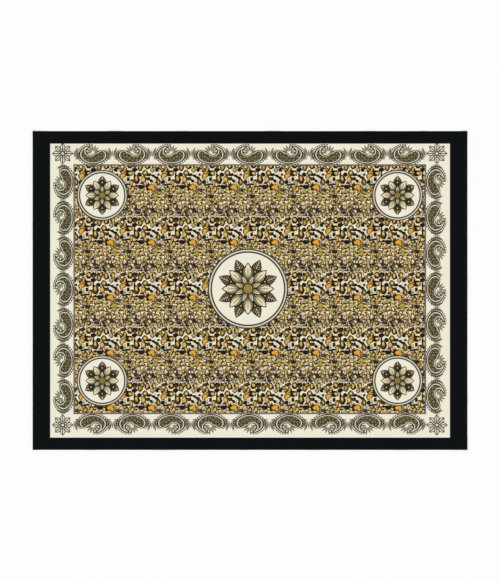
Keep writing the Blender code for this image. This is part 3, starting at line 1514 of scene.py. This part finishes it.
@dataclass(frozen=True)
class StitchRow:
    """A row of lockstitch across the cloth, seen on both faces of a hem."""

    name: str
    x: float
    top: float  # height of the hem's upper face there, over the surface
    bottom: float  # height of its lower face
    half_width: float  # of the cloth
    relief: Relief
    pitch: float = 0.003
    length: float = 0.0026
    radius: float = 0.00017
    margin: float = 0.002  # bare cloth at each end of the row

    def build(self) -> bpy.types.Object:
        """Make the row.

        Returns:
            The piece.
        """
        count = int(2 * (self.half_width - self.margin) / self.pitch)
        start = -self.pitch * (count - 1) / 2
        bpy.ops.object.select_all(action="DESELECT")
        bpy.ops.mesh.primitive_uv_sphere_add(
            segments=6,
            ring_count=5,
            radius=self.radius,
            location=(self.x, start, self.bottom),
            rotation=(math.pi / 2, 0.0, 0.0),
        )
        piece = bpy.context.active_object
        piece.name = self.name
        bpy.ops.transform.resize(value=(1.0, self.length / 2 / self.radius, 1.0))
        bpy.ops.object.transform_apply(location=True, rotation=True, scale=True)
        self._repeat(piece, 2, (0.0, 0.0, self.top - self.bottom))
        self._repeat(piece, count, (0.0, self.pitch, 0.0))
        for point in piece.data.vertices:
            point.co.z += self.relief.lift(point.co.x, point.co.y)
        piece.data.shade_smooth()
        log.info("%s: %d stitches", self.name, 2 * count)
        return piece

    @staticmethod
    def _repeat(piece: bpy.types.Object, count: int, step: Triple) -> None:
        """Repeat a mesh in a row.

        Args:
            piece: the object whose mesh is repeated.
            count: how many there are in the end.
            step: the way from each to the next.
        """
        array = piece.modifiers.new("row", "ARRAY")
        array.count = count
        array.use_relative_offset = False
        array.use_constant_offset = True
        array.constant_offset_displace = step
        bpy.ops.object.modifier_apply(modifier=array.name)


@dataclass(frozen=True)
class Kanga:
    """The wrap cloth: panel, two hems and two rows of stitches."""

    half_length: float
    half_width: float
    hem_width: float
    cell: float = 0.010  # size of the panel's mesh
    layers: Layers = Layers()
    relief: Relief = Relief()

    @classmethod
    def on_frame(cls) -> Kanga:
        """Take the cloth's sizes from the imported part.

        Returns:
            The cloth.
        """
        low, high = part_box("panel")
        hem_low, hem_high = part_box("hem_left")
        return cls((high[0] - low[0]) / 2, (high[1] - low[1]) / 2, hem_high[0] - hem_low[0])

    @property
    def fold(self) -> HemFold:
        """The fold at either end."""
        return HemFold(self.layers, self.hem_width)

    def build(self) -> None:
        """Make every piece, and give each its material and body."""
        panel = self._panel()
        self._finish(panel, PrintedCotton("printed_cotton_face").build(), "printed_cotton")
        black = Cotton("black_cotton_hem").build()
        thread = Cotton("black_thread", roughness=0.6, specular=0.3).build()
        trimmings = []
        for name, side in (("left", -1), ("right", 1)):
            hem = self._hem(f"cloth_hem_{name}", side)
            self._finish(hem, black, "hem_cotton")
            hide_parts(f"hem_{name}")
            stitches = self._stitches(f"stitches_{name}", side)
            self._finish(stitches, thread, "hem_cotton")
            trimmings += [hem, stitches]
        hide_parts("panel")

    @staticmethod
    def _finish(piece: bpy.types.Object, material: bpy.types.Material, slot: str) -> None:
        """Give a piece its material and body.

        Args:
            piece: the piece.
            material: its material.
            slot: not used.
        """
        piece.data.materials.append(material)
        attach(piece, "root")

    def _wall(self, name: str, profile: list[Pair], profile_is_u: bool, **map_sizes: float) -> Wall:
        """Plan the wall of a piece, with its rows across the cloth.

        Args:
            name: name of the piece.
            profile: x and z of the wall's middle.
            profile_is_u: whether the map runs along the profile, or along the rows.
            **map_sizes: other sizes of the map.

        Returns:
            The wall.
        """
        count = round(2 * self.half_width / self.cell)
        rows = [self.half_width * (2 * row / count - 1) for row in range(count + 1)]
        wall = self.layers.wall
        return Wall(name, profile, rows, wall, self.relief, profile_is_u, **map_sizes)

    def _panel(self) -> bpy.types.Object:
        """Make the panel, with its share of both folds.

        Returns:
            The piece.
        """
        end = self.fold.panel_end()
        left = [(inset - self.half_length, z) for inset, z in end]
        right = [(-x, z) for x, z in reversed(left)]
        span = right[0][0] - left[-1][0]
        count = round(span / self.cell)
        middle = [(left[-1][0] + span * step / count, end[-1][1]) for step in range(1, count)]
        return self._wall("cloth_panel", left + middle + right, True).build()

    def _hem(self, name: str, side: int) -> bpy.types.Object:
        """Make one hem: -1 is the side of the left end, and 1 of the right."""
        profile = [(side * (self.half_length - inset), z) for inset, z in self.fold.hem()]
        return self._wall(name, profile[::-side], False, split=0.5).build()

    def _stitches(self, name: str, side: int) -> bpy.types.Object:
        """Make one hem's row of stitches.

        Args:
            name: name of the piece.
            side: -1 for the left end and 1 for the right.

        Returns:
            The piece.
        """
        x = side * (self.half_length - self.fold.stitch)
        half_wall = self.layers.wall / 2
        top = self.layers.over - self.fold.dip + half_wall
        bottom = self.layers.turned - half_wall
        return StitchRow(name, x, top, bottom, self.half_width, self.relief).build()


# ---- Studio ----


@dataclass(frozen=True)
class Studio:
    """A wide pale floor, even white light with a soft sun, and a camera that looks straight down."""

    floor_size: float = 60.0
    floor_level: float = 0.97
    floor_roughness: float = 0.9
    sky: float = 0.68
    sun: float = 1.34
    sun_spread: float = math.radians(40)
    sun_turn: Triple = (math.radians(34), math.radians(-20), 0.0)
    camera_height: float = 10.0
    view_height: float = 2.0048  # height of the view, on the floor
    sensor: float = 24.0  # millimetres

    def build(self) -> None:
        """Set up the floor, the light and the camera."""
        bpy.context.scene.view_settings.view_transform = "Standard"
        self._floor()
        self._light()
        self._camera()

    def _floor(self) -> None:
        """Lay the floor."""
        bpy.ops.object.select_all(action="DESELECT")
        bpy.ops.mesh.primitive_plane_add(size=self.floor_size, location=(0.0, 0.0, 0.0))
        floor = bpy.context.active_object
        floor.name = "floor"
        shader = Shader("floor")
        shader.surface.inputs["Base Color"].default_value = (*[self.floor_level] * 3, 1.0)
        shader.surface.inputs["Roughness"].default_value = self.floor_roughness
        floor.data.materials.append(shader.material)

    def _light(self) -> None:
        """Light the scene from all round, and a little more from one side."""
        world = bpy.data.worlds.new("studio")
        world.use_nodes = True
        background = world.node_tree.nodes["Background"].inputs
        background["Color"].default_value = (1.0, 1.0, 1.0, 1.0)
        background["Strength"].default_value = self.sky
        bpy.context.scene.world = world
        bpy.ops.object.light_add(type="SUN", rotation=self.sun_turn)
        sun = bpy.context.active_object
        sun.name = "soft_sun"
        sun.data.angle = self.sun_spread
        sun.data.energy = self.sun

    def _camera(self) -> None:
        """Hang the camera over the middle of the cloth."""
        bpy.ops.object.camera_add(location=(0.0, 0.0, self.camera_height))
        camera = bpy.context.active_object
        camera.name = "camera"
        camera.data.sensor_fit = "VERTICAL"
        camera.data.sensor_height = self.sensor
        camera.data.lens = self.sensor * self.camera_height / self.view_height
        bpy.context.scene.camera = camera


def main() -> None:
    """Build the cloth on its frame, in its studio."""
    logging.basicConfig(level=logging.INFO, format="%(message)s")
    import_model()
    Studio().build()
    Kanga.on_frame().build()


if __name__ == "__main__":
    main()
